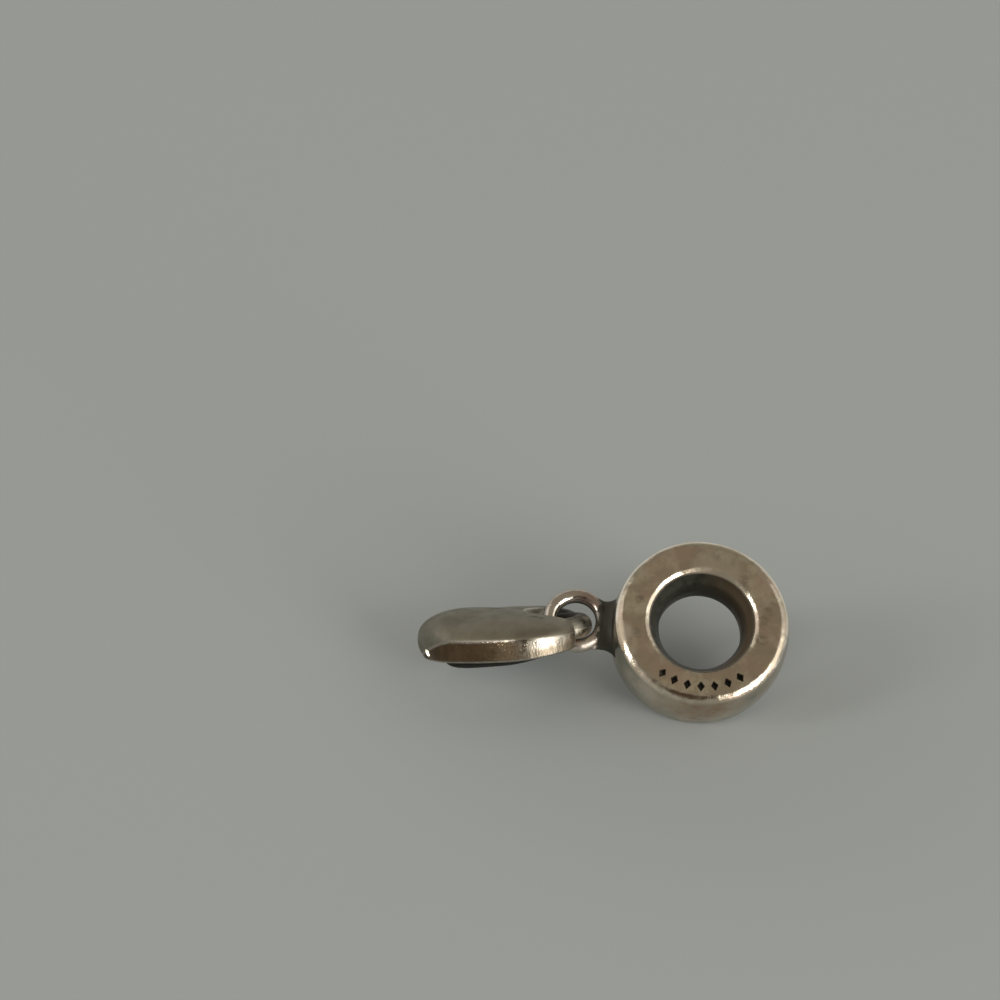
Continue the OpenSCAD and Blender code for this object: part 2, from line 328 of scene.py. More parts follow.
# %% Knocks and scratches of the bead
knocks = silver.bump(silver.cloud(1.1, 2, 0.5, shift=(1, 9, 0)), 0.06)
one_way = silver.cloud(2.0, 3, 0.6, stretch=(0.35, 9, 1), turn=(0, 0, 28))
other_way = silver.cloud(2.0, 3, 0.6, stretch=(11, 0.4, 1), turn=(0, 0, -12))
lines = silver.bump(other_way, 0.003, silver.bump(one_way, 0.004, knocks))
cast_grain = silver.bump(silver.cloud(9, 2, 0.5), 0.003, lines)
bead_finish = silver.finished(base, rough, cast_grain, silver.times(tarnish_and_shade, 0.9))

# %% [markdown]
# The bead is turned metal, so it is made as on a lathe: a closed chain of vertices draws the
# section, and spinning it once round the axis gives a ring without a seam. Years of knocks are
# made by moving each vertex along its normal by a smooth noise.

# %% Tools for turned pieces


def closed_chain(bm, points):
    verts = [bm.verts.new(p) for p in points]
    return verts, [bm.edges.new((verts[i - 1], verts[i])) for i in range(len(verts))]


def lathe(section, steps):
    """Spins a closed section, given as radius and height, once round Z."""
    bm = bmesh.new()
    verts, edges = closed_chain(bm, [(r, 0, h) for r, h in section])
    bmesh.ops.spin(bm, geom=verts + edges, cent=(0, 0, 0), axis=(0, 0, 1), angle=2 * pi,
                   steps=steps, use_merge=True)
    bmesh.ops.recalc_face_normals(bm, faces=bm.faces)
    return bm


def dent(bm, depth, size, seed):
    """Moves every vertex a little along its normal, as years of knocks do."""
    bm.normal_update()
    for v in bm.verts:
        v.co += v.normal * depth * noise.noise(v.co / size + Vector((seed, seed, seed)))


def as_object(bm, name):
    mesh = bpy.data.meshes.new(name)
    bm.to_mesh(mesh)
    bm.free()
    obj = bpy.data.objects.new(name, mesh)
    bpy.context.scene.collection.objects.link(obj)
    return obj


# %% [markdown]
# Half of the bead's section is a narrow bore that widens to the mouth, a bevelled lip, a flat
# face, a soft shoulder and a bulging rim, and its mirror image closes it. The lip's bevel matters,
# because that narrow band catches both windows.

# %% The carrier bead
land_r, mouth_r, face_r, shoulder_r, rim_r = 2.08, 2.6, 3.9, 4.33, 4.47
shoulder_drop = 0.26
bore = [(land_r, 0.0), (land_r, 0.33), (land_r + 0.015, 0.38), (land_r + 0.05, 0.43), (2.2, 0.62),
        (2.36, 0.93)]
# the lip, as radius and depth below the face
lip = [(mouth_r - 0.04, 0.46), (mouth_r, 0.28), (2.612, 0.21), (2.64, 0.155), (2.67, 0.117),
       (2.70, 0.095), (2.77, 0.056), (2.84, 0.02), (2.88, 0.007)]
face = [2.93, 3.02, 3.3, 3.5, 3.7, 3.82, face_r]
shoulder_steps, rim_steps = 8, 14

half = bore + [(r, half_t - depth) for r, depth in lip] + [(r, half_t) for r in face]
for u in (i / shoulder_steps for i in range(1, shoulder_steps + 1)):
    half.append((face_r + (shoulder_r - face_r) * u,
                 half_t - shoulder_drop * (0.25 * u + 0.75 * u * u)))
for u in (i / rim_steps for i in range(1, rim_steps + 1)):
    half.append((shoulder_r + (rim_r - shoulder_r) * sin(pi / 2 * u),
                 (half_t - shoulder_drop) * (1 - u)))

bead_bm = lathe(half + [(r, -h) for r, h in reversed(half[1:-1])], steps=240)
dent(bead_bm, depth=0.02, size=1.6, seed=3.1)
bead = as_object(bead_bm, "bead_ring")
print("bead section", len(half), "points")

# %% [markdown]
# The next tools cut one object with another, or melt both together, and lay a piece down in its
# place: its faces point outwards, its finish goes on, and it rides on the body. Sharp edges are
# marked by their angle, so the flats stay flat and the curves stay smooth.

# %% Tools for cutting and laying down
merge_gap = 0.0005


def with_modifier(obj, kind, **settings):
    """Adds one modifier, applies it and keeps the result as the object's mesh."""
    modifier = obj.modifiers.new(kind.title(), kind)
    for key, value in settings.items():
        setattr(modifier, key, value)
    shown = obj.evaluated_get(bpy.context.evaluated_depsgraph_get())
    mesh = bpy.data.meshes.new_from_object(shown)
    obj.modifiers.clear()
    obj.data = mesh


def joined_with(obj, tool, operation):
    """Cuts with a tool or melts it in, and puts the tool away."""
    with_modifier(obj, "BOOLEAN", operation=operation, object=tool, solver="EXACT")
    bpy.data.objects.remove(tool)


def soften(bm, sharp_angle):
    for face in bm.faces:
        face.smooth = True
    for edge in bm.edges:
        edge.smooth = len(edge.link_faces) != 2 or edge.calc_face_angle(0) < radians(sharp_angle)


def lay_down(obj, place, material, sharp_angle=32):
    bm = bmesh.new()
    bm.from_mesh(obj.data)
    bmesh.ops.remove_doubles(bm, verts=bm.verts, dist=merge_gap)
    bmesh.ops.recalc_face_normals(bm, faces=bm.faces)
    soften(bm, sharp_angle)
    bmesh.ops.transform(bm, matrix=place, verts=bm.verts)
    bm.to_mesh(obj.data)
    triangles = sum(len(f.verts) - 2 for f in bm.faces)
    bm.free()
    obj.data.materials.clear()
    obj.data.materials.append(material)
    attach(obj, "root")
    print(obj.name, triangles, "triangles")


# %% [markdown]
# Round the lower half of the face runs a short row of small lozenge punches, each struck with a
# pointed tool of four sides. Cutting them out with a Boolean gives real pits, as a punch does.

# %% The row of punches
punch_count, first_angle, angle_step, row_r, sunk = 7, 238, 11.4, 3.46, 0.02
lozenge = Matrix.Diagonal((0.42, 0.29, 1, 1))

points_bm = bmesh.new()
for i in range(punch_count):
    turn = Matrix.Rotation(radians(first_angle + angle_step * i), 4, "Z")
    place = turn @ Matrix.Translation((row_r, 0, half_t - sunk)) @ lozenge
    bmesh.ops.create_cone(points_bm, cap_ends=True, segments=4, radius1=0.3, radius2=1.0,
                          depth=0.36, matrix=place)
joined_with(bead, as_object(points_bm, "punch_points"), "DIFFERENCE")
lay_down(bead, bead_place, bead_finish)
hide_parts("carrier_bead")

# %% [markdown]
# The loop's silver is pinker than the bead's, with a dark copper stain near the neck. It is
# black from tarnish on the solder, and inside, where the heart hangs, from tarnish and painted
# shade. The edge of the black is made ragged by adding noise to the distance that draws it.

# %% Silver of the loop
silver = Finish("worn_loop_silver", bead_place)
mottle = silver.fade(silver.cloud(1.6, 4, 0.6, shift=(2, 2, 2)), 0.36, 0.62)
base = silver.mix(mottle, rgb(0.68, 0.625, 0.545), rgb(0.60, 0.515, 0.455))
pink = silver.times(silver.spot(-5.62, 1.02, 0.2, 0.3, 0.85), 0.85)
base = silver.mix(pink, base, rgb(0.44, 0.335, 0.295))
ragged = silver.times(silver.minus(silver.cloud(2.6, 3, 0.6, shift=(0, 3, 0)), 0.5), 0.7)
solder = silver.fade(silver.plus(silver.x, ragged), -5.30, -5.08)
from_loop_middle = silver.length(silver.plus(silver.x, -loop_middle.x), silver.y)
# inside the loop: tarnish and painted shade
inside = silver.fade(from_loop_middle, 1.07, 1.0)
tarnish_and_shade = silver.most(solder, silver.times(inside, 0.95))
base = silver.mix(tarnish_and_shade, base, rgb(0.058, 0.056, 0.042))
rough = silver.level(silver.cloud(4.0, 3, 0.6), 0.10, 0.26)
rough = silver.level(silver.spot(-5.3, -1.25, 0.2, 0.5, 1.1), rough, 0.42)
rough = silver.level(tarnish_and_shade, rough, 0.45)
knocks = silver.bump(silver.cloud(1.8, 2, 0.5, shift=(4, 4, 0)), 0.06)
lines = silver.bump(silver.cloud(3.0, 3, 0.6, stretch=(0.5, 8, 1), turn=(0, 0, 40)), 0.004, knocks)
cast_grain = silver.bump(silver.cloud(9, 2, 0.5), 0.003, lines)
loop_finish = silver.finished(base, rough, cast_grain, silver.times(tarnish_and_shade, 0.9))

# %% [markdown]
# The loop is a ring of round wire, so its section is a circle, spun as the bead was. It is dented
# before it moves out to the bead's side.

# %% The loop of wire


def arc(middle, radius, start, end, steps):
    """Points of a circle from one angle to another, in degrees."""
    angles = [radians(start + (end - start) * i / steps) for i in range(steps + 1)]
    return [(middle[0] + radius * cos(a), middle[1] + radius * sin(a)) for a in angles]


loop_r, wire_r = 1.32, 0.34
wire = arc((loop_r, 0), wire_r, 0, 360, 28)[:-1]
loop_bm = lathe(wire, steps=112)
dent(loop_bm, depth=0.025, size=0.9, seed=7.7)
bmesh.ops.translate(loop_bm, verts=loop_bm.verts, vec=loop_middle)
loop = as_object(loop_bm, "wire_loop")
lay_down(loop, bead_place, loop_finish)
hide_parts("carrier_bead")

# %% [markdown]
# Solder runs between the rim and the loop and leaves a hollow saddle, here called the neck. Two
# circles hollow it out, one in its height and one in its thickness, and it sags a little. So its
# size can be worked out for any place along it.

# %% Sizes of the solder neck
waist_x, waist, waist_hollow, high_in_rim, high_at_loop = 4.8, 1.3, 0.85, 1.98, 1.42
thin_x, thin, thin_hollow, wide_in_rim, wide_at_loop = 5.1, 0.33, 1.2, 1.29, 0.33
neck_start, neck_step, neck_steps, neck_sides = 3.75, 0.04, 43, 48
sag, sag_until, sag_length = 0.12, 5.35, 0.5


def hollow(x, middle, least, radius, most):
    """Half a width of a hollow block at a place along the neck."""
    gap = abs(x - middle)
    return most if gap >= radius else min(most, least + radius - sqrt(radius ** 2 - gap ** 2))


def neck_size(x):
    high = hollow(x, waist_x, waist, waist_hollow, high_in_rim if x < waist_x else high_at_loop)
    wide = hollow(x, thin_x, thin, thin_hollow, wide_in_rim if x < thin_x else wide_at_loop)
    return high, wide, sag * min(1, max(0, (sag_until - x) / sag_length))


print("neck at its waist", neck_size(waist_x))

# %% [markdown]
# The neck is drawn out of one ring of vertices in the rim: each step extrudes the ring towards the
# loop and gives it the next height and thickness. Its end is cut to the wire by a plug as wide as
# the middle of the loop.

# %% The solder neck


def plug(bm, radius, depth, place, segments):
    """A round bar, for cutting with."""
    bmesh.ops.create_cone(bm, cap_ends=True, segments=segments, radius1=radius, radius2=radius,
                          depth=depth, matrix=place)


def pulled_out(bm, edges):
    """Extrudes a ring of edges and gives the new ring's edges and vertices."""
    out = bmesh.ops.extrude_edge_only(bm, edges=edges)["geom"]
    return ([e for e in out if isinstance(e, bmesh.types.BMEdge)],
            [v for v in out if isinstance(v, bmesh.types.BMVert)])


neck_bm = bmesh.new()
ring = bmesh.ops.create_circle(neck_bm, segments=neck_sides, radius=1.0,
                               matrix=Matrix.Rotation(radians(90), 4, "Y"))["verts"]
edges = list(neck_bm.edges)
before = (1.0, 1.0, 0.0)
for i in range(neck_steps):
    if i:
        edges, ring = pulled_out(neck_bm, edges)
    x = neck_start + i * neck_step
    high, wide, lower = neck_size(x)
    for v in ring:
        y, z = (v.co.y + before[2]) / before[0], v.co.z / before[1]
        v.co = Vector((-x, y * high - lower, z * wide))
    before = (high, wide, lower)
bmesh.ops.holes_fill(neck_bm, edges=neck_bm.edges, sides=0)
bmesh.ops.recalc_face_normals(neck_bm, faces=neck_bm.faces)
neck = as_object(neck_bm, "solder_neck")
cutter_bm = bmesh.new()
plug(cutter_bm, loop_r, 4, Matrix.Translation(loop_middle), segments=96)
joined_with(neck, as_object(cutter_bm, "neck_cutter"), "DIFFERENCE")
lay_down(neck, bead_place, loop_finish)
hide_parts("carrier_bead")

# %% [markdown]
# The flat band round the heart isn't even: it fades out at the tip, where the dome wraps down over
# it, and it narrows at the lobes, which bend up a little. Both the shape and the finish follow its
# two edges, so their heights are worked out once from the numbers of the solid model.

# %% Sizes of the heart
heart_w, heart_h, lobe_r, tip_r, side_r = 9.1, 8.1, 2.45, 0.9, 11
eye_y, eye_lift = 7.08, 0.42
band_t, tip_wrap, tip_rise, tip_to, tip_lean = 1.1, 0.84, 0.08, 2.0, 0.42
lobe_wrap, lobe_rise, rise_from = 0.38, 0.18, 4.4


def near_tip(y):
    return max(0, 1 - y / tip_to) ** 2


def near_lobes(y):
    return max(0, y - rise_from) / (heart_h - rise_from)


print("heart", heart_w, "mm wide and", heart_h, "mm high")

# %% [markdown]
# The heart's dome is a dull satin grey, with a painted warm reflection low on its near side. The
# finish has to find the band, so the same two edge heights are written once more, as Math nodes.
# Where the point lies between both edges, it is on the band.

# %% The heart's metal, and where its band is
silver = Finish("worn_heart_silver", heart_place)
mottle = silver.fade(silver.cloud(1.0, 5, 0.62, shift=(5, 0, 0)), 0.36, 0.64)
base = silver.mix(mottle, rgb(0.30, 0.285, 0.240), rgb(0.235, 0.222, 0.182))
# painted warm reflection on the low near side of the dome
low_side_reflection = silver.times(silver.fade(silver.x, 0.6, 3.2), 0.45)
base = silver.mix(low_side_reflection, base, rgb(0.27, 0.225, 0.155))

up_heart = silver.plus(silver.y, eye_y)
tip = silver.most(silver.minus(1.0, silver.math("DIVIDE", up_heart, tip_to)), 0.0)
tip = silver.math("POWER", tip, 2.0)
lobes = silver.math("DIVIDE", silver.minus(up_heart, rise_from), heart_h - rise_from)
lobes = silver.most(lobes, 0.0)
lift = silver.times(silver.math("POWER", lobes, 2.0), lobe_rise)
lobes = silver.math("POWER", lobes, 1.5)
height = silver.minus(silver.plus(silver.z, eye_lift), lift)
wrap = silver.plus(silver.times(tip, tip_wrap * band_t), silver.times(lobes, lobe_wrap * band_t))
from_top = silver.minus(silver.plus(height, wrap), band_t / 2)
from_bottom = silver.plus(silver.minus(height, silver.times(tip, tip_rise * band_t)), band_t / 2)
band = silver.times(silver.fade(from_top, 0.01, -0.05), silver.fade(from_bottom, 0.03, 0.09))
print("heart metal and band", len(silver.tree.nodes), "nodes")

# %% [markdown]
# The band is glossier than the dome. It is stained dark brown towards the tip and rubbed pale
# towards the eye. Near the eye its lower part is darker, a brown stain with painted shade, so the
# highlight stays on its upper part. The change from one to the other isn't a straight line,
# because noise is added to the height that draws it.

# %% The stained band
streak = silver.fade(silver.cloud(0.9, 4, 0.55, stretch=(1.3, 1.3, 0.8)), 0.36, 0.64)
brown = silver.mix(streak, rgb(0.172, 0.110, 0.062), rgb(0.110, 0.070, 0.038))
ragged = silver.times(silver.minus(silver.cloud(1.6, 4, 0.7, shift=(2, 0, 7)), 0.5), 1.2)
worn = silver.plus(silver.y, ragged)
brown = silver.mix(silver.fade(worn, -3.6, -2.0), brown, rgb(0.30, 0.215, 0.135))
brown = silver.mix(silver.fade(worn, -2.1, -0.9), brown, rgb(0.62, 0.56, 0.46))
# stain and painted shade on the lower band near the eye
stain_and_shade_low = silver.times(silver.fade(from_bottom, 0.62, 0.30), silver.fade(worn, -2.0, -0.9))
brown = silver.mix(silver.times(stain_and_shade_low, 0.75), brown, rgb(0.27, 0.215, 0.15))
base = silver.mix(band, base, brown)
print("stained band", len(silver.tree.nodes), "nodes")

# %% [markdown]
# Both edges of the band are worn to a pale line, partly wear and partly a painted highlight, and a
# painted highlight makes the upper edge brightest near the eye. The tip has a small knocked facet
# that glints, and its pale colour is a painted highlight. A line is a fade in and a fade out close
# together.

# %% Worn edges of the band, with painted highlights
wear = silver.fade(silver.cloud(2.0, 3, 0.6, shift=(1, 6, 0)), 0.3, 0.55)
upper = silver.times(silver.fade(from_top, 0.10, 0.0), silver.fade(from_top, -0.14, -0.03))
lower = silver.times(silver.fade(from_bottom, 0.13, 0.07), silver.fade(from_bottom, -0.04, 0.0))
# pale edge lines: wear and a painted highlight
edge = silver.times(silver.most(upper, lower), silver.level(wear, 0.45, 0.95))
base = silver.mix(edge, base, rgb(0.44, 0.395, 0.33))
# painted highlight on the upper edge near the eye
edge_highlight = silver.times(silver.fade(from_top, 0.16, 0.02), silver.fade(from_top, -0.16, -0.04),
                      silver.fade(silver.y, -1.2, -0.4), 0.85)
base = silver.mix(edge_highlight, base, rgb(0.74, 0.69, 0.60))
# the facet is a tilted bump; its pale colour is a painted highlight
glint_facet = silver.spot(0.963, -6.52, -0.487, 0.16, 0.28)
base = silver.mix(glint_facet, base, rgb(0.75, 0.68, 0.56))
print("worn edges", len(silver.tree.nodes), "nodes")

# %% [markdown]
# Dark smudges lie on the dome and on the eye, and two of them are small dents. The dark in those
# two dents and in the dimple is painted shade, and the smudge on the eye is a painted dark
# reflection. The far lobe behind the loop is painted black as shade. The front dome is black,
# partly tarnish and partly painted shade, and a ring in the recess round the eye is black. Only
# the recess's wall is pale, painted light against its shade.

# %% Smudges, painted shade and black places
small_dents = ((2.2, -0.9, 0.9), (2.45, -0.55, 0.86))
# the smudge at (0.9, 1.33) on the eye is a painted dark reflection; the dimple at (1.25, -0.8) and
# the two dents hold painted shade
smudges_and_shade = ((1.25, -0.8, 0.75, 0.5, 0.5), (0.0, -3.1, 1.3, 0.6, 0.4), (-0.4, -1.8, 1.2, 0.6, 0.5),
           (0.9, 1.33, 0.24, 0.6, 1.0), (*small_dents[0], 0.3, 0.8), (*small_dents[1], 0.26, 0.8),
           (2.3, 1.0, 0.1, 0.35, 0.6))
for x, y, z, size, dark in smudges_and_shade:
    dark_mark = silver.times(silver.spot(x, y, z, size * 0.25, size),
                          silver.level(wear, dark, dark * 0.5))
    base = silver.mix(dark_mark, base, rgb(0.05, 0.046, 0.034))
# painted shade on the far lobe behind the loop
far_lobe_shade = silver.times(silver.fade(silver.x, 0.1, -0.5), silver.spot(-0.9, 0.5, 0.4, 1.0, 2.3),
                      silver.fade(silver.y, -1.0, -0.3), silver.fade(silver.z, 0.0, 0.2))
base = silver.mix(far_lobe_shade, base, rgb(0.030, 0.028, 0.020))
# the front dome: tarnish and painted shade
front_dome = silver.fade(from_bottom, -0.02, -0.07)
base = silver.mix(front_dome, base, rgb(0.014, 0.013, 0.009))

from_eye = silver.length(silver.x, silver.y)
# painted light on the recess's shaded wall
recess_wall_light = silver.times(silver.fade(from_eye, 1.62, 1.54), silver.fade(silver.y, -0.5, -0.9))
base = silver.mix(recess_wall_light, base, rgb(0.62, 0.60, 0.54))
grain = silver.fade(silver.cloud(4.0, 4, 0.7), 0.35, 0.6)
black_recess = silver.times(silver.fade(from_eye, 1.56, 1.46), silver.fade(from_eye, 1.15, 1.3),
                            silver.level(grain, 0.9, 0.4), silver.fade(silver.y, -1.5, -0.4))
base = silver.mix(black_recess, base, rgb(0.035, 0.033, 0.026))
print(len(smudges_and_shade), "smudges_and_shade")

# %% [markdown]
# The dome is satin and the band is polished, except for dull flakes where its polish has gone. The
# tip's facet is the brightest place, and the black front dome is the dullest.

# %% Gloss of the heart
flakes = silver.cloud(2.6, 4, 0.7, stretch=(1, 1.6, 0.7), shift=(6, 1, 3), turn=(25, 0, 0))
flakes = silver.fade(flakes, 0.42, 0.56)
dull_flakes = silver.times(silver.most(stain_and_shade_low, flakes), band, silver.fade(worn, -2.2, -1.2))
rough = silver.level(silver.cloud(3.0, 4, 0.6), 0.42, 0.55)
rough = silver.level(silver.most(band, edge), rough, silver.level(streak, 0.14, 0.26))
for mark, dullness in ((dull_flakes, 0.42), (glint_facet, 0.12), (front_dome, 0.8)):
    rough = silver.level(mark, rough, dullness)
print("gloss", len(silver.tree.nodes), "nodes")

# %% [markdown]
# The relief is soft knocks on the dome, rougher chatter on the band, scratches, a dimple and the
# two small dents. The facet is tilted by a bump whose height grows evenly along one direction, so
# the flat faces the window and glints.

# %% Relief of the heart
tilt_way, tilt_start, tilt = (0.716, 0.311, 0.625), 1.643, -1.07
knocks = silver.bump(silver.cloud(1.3, 3, 0.5, shift=(3, 3, 0)), 0.03)
chatter = silver.bump(silver.cloud(2.2, 4, 0.7, stretch=(1, 1, 0.6), shift=(9, 1, 1)), 0.07)
knocks = silver.mix(band, knocks, chatter)
lines = silver.bump(silver.cloud(2.0, 3, 0.6, stretch=(0.4, 9, 1), turn=(0, 0, 20)), 0.006, knocks)
relief = silver.bump(silver.spot(1.25, -0.78, 0.75, 0.05, 0.6), -0.10, lines)
for x, y, z in small_dents:
    relief = silver.bump(silver.spot(x, y, z, 0.03, 0.22), -0.04, relief)
along = silver.plus(silver.measure("DOT_PRODUCT", silver.at, tilt_way), tilt_start)
relief = silver.bump(silver.times(along, glint_facet, tilt), 1.0, relief)
cast_grain = silver.bump(silver.cloud(9, 2, 0.5), 0.004, relief)
dull = silver.times(silver.most(front_dome, black_recess, far_lobe_shade), 0.85)
heart_finish = silver.finished(base, rough, cast_grain, dull)

# %% [markdown]
# The heart starts as its outline: a rounded tip, two long bowed sides and two round lobes. Each
# side is an arc that touches the tip's circle and the lobe's, so its middle is found from how far
# both circles are from each other.

# %% The heart's outline
lobe = Vector((heart_w / 2 - lobe_r, heart_h - lobe_r))
heart_middle = Vector((0, lobe.y - 0.6))


def side_middle():
    """Where the long side's circle has its middle: it touches the tip's and the lobe's circle."""
    a, b = side_r - tip_r, side_r - lobe_r
    gap = lobe - Vector((0, tip_r))
    d = gap.length
    along = (a * a - b * b + d * d) / (2 * d)
    across = sqrt(a * a - along * along)
    way = gap / d
    return Vector((0, tip_r)) + along * way + across * Vector((-way.y, way.x))


def heading(start, end):
    return degrees(atan2(end[1] - start[1], end[0] - start[0]))


def half_outline():
    middle = side_middle()
    start, end = heading(middle, (0, tip_r)), heading(middle, lobe)
    cleft = 180 - degrees(acos(lobe.x / lobe_r))
    return (arc((0, tip_r), tip_r, -90, start, 12) + arc(middle, side_r, start, end, 40)[1:]
            + arc(lobe, lobe_r, end, cleft, 60)[1:])


right_half = half_outline()
outline = right_half + [(-x, y) for x, y in reversed(right_half[1:-1])]
print("outline", len(outline), "points")

# %% [markdown]
# Two surfaces say how high each dome is. A place's level is 1 on the band and 0 in the middle. The
# back is a full cushion towards the tip and flatter, like a lens, towards the sides, and both
# domes get lower towards the lobes. The back also wraps down over the band at the tip and the
# lobes.

# %% The two domes
back_h, back_fall, front_h, front_fall, fall_from, fall_power = 1.46, 0.66, 0.7, 0.9, 1.3, 1.3
cushion_power, lens_power, lens_edge = 4, 2.4, 0.8
aside_share, full_lens, lens_from, lens_span = 0.4, 0.6, 4.3, 2.2


def smooth(u):
    u = min(1, max(0, u))
    return u * u * (3 - 2 * u)


def kept(y, fall):
    """What is left of a dome's height at a place along the heart."""
    return 1 - fall * (max(0, y - fall_from) / (heart_h - fall_from)) ** fall_power


def back_surface(x, y, level):
    cushion, lens = sqrt(1 - level ** cushion_power), (1 - level ** lens_power) ** lens_edge
    aside = x * x / (aside_share * (x * x + (y - heart_middle.y) ** 2) + 1e-5)
    sideways = smooth(aside) * (1 - full_lens * smooth((y - lens_from) / lens_span))
    wrap = tip_wrap * near_tip(y) * (1 - cushion) ** 6
    wrap += lobe_wrap * near_lobes(y) ** 1.5 * (1 - cushion) ** 2
    dome = cushion + (lens - cushion) * sideways
    return band_t * (0.5 - wrap) + back_h * kept(y, back_fall) * dome


def front_surface(x, y, level):
    dome = front_h * kept(y, front_fall) * sqrt(1 - level ** cushion_power)
    return -band_t * (0.5 - tip_rise * near_tip(y)) - dome


print("back at the middle", back_surface(0, heart_middle.y, 0))

# %% [markdown]
# The closed outline is extruded up the band and then over each dome. Every step pulls it towards
# the heart's middle and lifts it to the surface, in smaller steps near the edge, where a cushion
# curves most. The front has a flat rim before its own smaller dome starts. At last the tip leans
# out at its foot and the lobes bend up.

# %% The puffed body
shares = [0.9995, 0.998, 0.994, 0.985, 0.97, 0.95, 0.925, 0.895, 0.86, 0.82, 0.77, 0.71, 0.64,
          0.56, 0.48, 0.40, 0.32, 0.24, 0.16, 0.08, 0.03]
front_share = 0.76
# each step: its share of the outline, its level on the dome, and how far a worn edge keeps it back
back_steps = [(1.0, 1.0, 0.04)] + [(s, s, 0) for s in shares[1:]]
front_steps = [(1.0, 1.0, 0.10), (0.9965, 1.0, 0.045), (0.988, 1.0, 0.01), (0.975, 1.0, 0),
               (0.9, 1.0, 0), (0.77, 1.0, 0), (front_share, 1.0, 0)]
front_steps += [(front_share * s, s, 0) for s in shares]

heart_bm = bmesh.new()
first_edges = closed_chain(heart_bm, [(x, y, 0) for x, y in outline])[1]
for side, steps, surface in ((1, back_steps, back_surface), (-1, front_steps, front_surface)):
    edges, now = first_edges, 1.0
    for size, level, edge_wear in steps:
        edges, ring = pulled_out(heart_bm, edges)
        for v in ring:
            v.co.x *= size / now
            v.co.y = heart_middle.y + (v.co.y - heart_middle.y) * size / now
            v.co.z = surface(v.co.x, v.co.y, level) - side * edge_wear
        now = size
    bmesh.ops.contextual_create(heart_bm, geom=edges)
for v in heart_bm.verts:
    y = v.co.y
    low = min(1, max(0, 0.5 - v.co.z / band_t))
    v.co.y += tip_lean * near_tip(y) * low ** 2
    v.co.z += lobe_rise * near_lobes(y) ** 2
bmesh.ops.recalc_face_normals(heart_bm, faces=heart_bm.faces)
bmesh.ops.translate(heart_bm, verts=heart_bm.verts, vec=(0, -eye_y, -eye_lift))
heart = as_object(heart_bm, "heart_body")
print("heart", len(heart.data.vertices), "vertices")

# %% [markdown]
# The eye is a rounded ring in the cleft, set in a recess that gives the loop's wire room to turn.
# Two plugs cut the recess and the hole, and the ring is joined in.

# %% The eye and its recess
eye_tube, eye_hole, eye_stretch = 0.5, 0.75, 1.15
eye_r = eye_hole + eye_tube
# each: what it is, its radius, and the heights of its two ends
eye_cuts = (("recess", 1.5, eye_tube * 0.8, 2.4), ("hole", eye_r, -3, 3))

for name, tool_r, low, high in eye_cuts:
    tool_bm = bmesh.new()
    plug(tool_bm, tool_r, high - low, Matrix.Translation((0, 0, (low + high) / 2)), segments=128)
    joined_with(heart, as_object(tool_bm, name), "DIFFERENCE")
tube = arc((eye_r, 0), eye_tube, 0, 360, 40)[:-1]
ring_bm = lathe([(r, eye_stretch * h) for r, h in tube], steps=128)
joined_with(heart, as_object(ring_bm, "eye_ring"), "UNION")
print("heart with its eye", len(heart.data.vertices), "vertices")

# %% [markdown]
# The real heart is one casting, and its joints are melted smooth. A fine voxel remesh does the
# same to the drawing and leaves small natural fillets. Two rounds of smoothing take the steps of
# the voxels away, and then come the knocks.

# %% One casting
voxel, smooth_rounds = 0.05, 2

with_modifier(heart, "REMESH", mode="VOXEL", voxel_size=voxel)
heart_bm = bmesh.new()
heart_bm.from_mesh(heart.data)
for _ in range(smooth_rounds):
    bmesh.ops.smooth_vert(heart_bm, verts=heart_bm.verts, factor=0.5, use_axis_x=True,
                          use_axis_y=True, use_axis_z=True)
dent(heart_bm, depth=0.02, size=1.4, seed=5.3)
heart_bm.to_mesh(heart.data)
heart_bm.free()
lay_down(heart, heart_place, heart_finish, sharp_angle=60)
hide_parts("heart_pendant")

# %% [markdown]
# The table is a plain pale sheet, lit a little from below as in a light tent, which keeps the
# shadows soft. Its glow is one value far away. Nearer the charm the glow is painted light and
# shade: weaker round the bead, where the loop is near and in a wide stretch near the bead, and
# stronger under the heart and the loop. The table isn't part of the object, so it is staged.

# %% The table
table_bm = bmesh.new()
bmesh.ops.create_grid(table_bm, x_segments=1, y_segments=1, size=1.5)
floor = as_object(table_bm, "table_top")
paint = bpy.data.materials.new("table_paint")
paint.use_nodes = True
table = Nodes(paint.node_tree)
shader = table.tree.nodes["Principled BSDF"]
for name, value in (("Base Color", rgb(0.336, 0.358, 0.362)), ("Roughness", 0.75),
                    ("Specular IOR Level", 0.2), ("Emission Color", rgb(0.50, 0.52, 0.49))):
    shader.inputs[name].default_value = value
table_at = table.add("TexCoord").outputs["Object"]


def glow_round(x, y, start, end, first, last):
    """One value within start mm of a place on the table and another beyond end mm."""
    gap = table.measure("DISTANCE", table_at, (x * MM, y * MM, 0))
    return table.fade(gap, start * MM, end * MM, first, last)


# the glow, with painted shade round the bead, near the loop and in a wide stretch, and painted
# light under the heart and the loop
glow_with_bead_shade = glow_round(4.5, 4.5, 1.0, 8.4, 0.0, 0.164)
loop_shade = glow_round(-0.5, 7.0, 0.4, 1.6, 0.6, 1.0)
wide_shade = glow_round(7.0, -2.0, 6.0, 24.0, 0.78, 1.0)
light_under_heart = glow_round(-5.6, 0.3, 0.5, 4.2, 0.095, 0.0)
light_under_loop = glow_round(-1.0, 1.8, 0.3, 3.4, 0.06, 0.0)
glow_with_painted_light = table.plus(table.times(glow_with_bead_shade, loop_shade, wide_shade), light_under_heart, light_under_loop)
table.put(shader.inputs["Emission Strength"], glow_with_painted_light)
floor.data.materials.append(paint)
floor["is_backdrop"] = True
print("table paint of", len(table.tree.nodes), "nodes")

